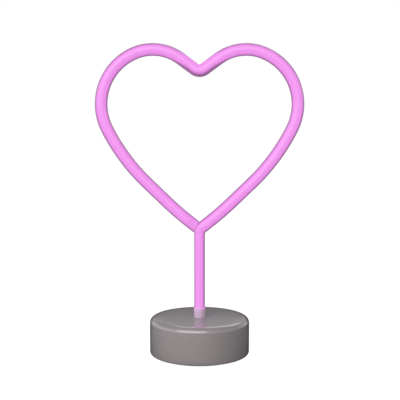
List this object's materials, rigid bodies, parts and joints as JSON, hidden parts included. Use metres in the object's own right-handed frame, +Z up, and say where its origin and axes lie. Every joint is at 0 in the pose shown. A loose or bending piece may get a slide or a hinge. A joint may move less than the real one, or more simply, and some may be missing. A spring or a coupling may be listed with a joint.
{
  "type": "heart table lamp",
  "caption": "Heart outline of glowing pink silicone tube on a slim stem, standing on a low round battery base with a rear slide switch and a door underneath.",
  "frame": {"origin": "centre of the base, on the surface the lamp stands on", "axes": "+Z up the stem, +X to the right across the heart, the heart faces -Y and the switch is at the back on +Y"},
  "size_m": [0.1858, 0.09, 0.2801],
  "materials": {
    "base_plastic": "warm grey satin moulding",
    "bottom_plastic": "warm grey fine texture",
    "clear_collar": "frosted clear",
    "glowing_silicone": "satin, lit from inside",
    "strip_film": "white film",
    "wire_steel": "bright drawn wire",
    "screw_steel": "zinc plated",
    "contact_nickel": "nickel plated",
    "cell_jacket": "gloss printed jacket",
    "board_laminate": "solder mask",
    "black_plastic": "fine matt",
    "lead_red": "soft insulation",
    "pad_rubber": "matt foam rubber"
  },
  "bodies": {
    "lamp": {"base_shell": "base_plastic", "bottom_plate": "bottom_plastic", "base_screw_1": "screw_steel", "base_screw_2": "screw_steel", "base_screw_3": "screw_steel", "base_screw_4": "screw_steel", "foot_pad_right": "pad_rubber", "foot_pad_rear": "pad_rubber", "foot_pad_left": "pad_rubber", "foot_pad_front": "pad_rubber", "stem_collar": "clear_collar", "stem_clamp": "bottom_plastic", "clamp_screw_left": "screw_steel", "clamp_screw_right": "screw_steel", "neon_tube": "glowing_silicone", "tube_plug": "clear_collar", "led_strip": "strip_film", "shaping_wire": "wire_steel", "aa_cell_1": "cell_jacket", "contact_spring_1": "wire_steel", "aa_cell_2": "cell_jacket", "contact_spring_2": "wire_steel", "aa_cell_3": "cell_jacket", "contact_spring_3": "wire_steel", "contact_negative": "contact_nickel", "contact_positive": "contact_nickel", "contact_link_left": "contact_nickel", "contact_link_right": "contact_nickel", "control_board": "board_laminate", "switch_body": "screw_steel", "timer_chip": "black_plastic", "timer_crystal": "screw_steel", "current_resistor": "strip_film", "battery_lead_red": "lead_red", "battery_lead_black": "black_plastic", "led_lead_red": "lead_red", "led_lead_black": "black_plastic"},
    "battery_door": {"battery_door": "bottom_plastic"},
    "switch_slider": {"switch_slider": "black_plastic"}
  },
  "joints": [
    {"name": "door_hinge", "type": "hinge", "parent": "lamp", "child": "battery_door", "pos_m": [-0.03065, 0, 0.0021], "axis": [0, 1, 0], "range_deg": [0, 90]},
    {"name": "switch_slide", "type": "slide", "parent": "lamp", "child": "switch_slider", "axis": [1, 0, 0], "range_m": [0, 0.004]}
  ]
}
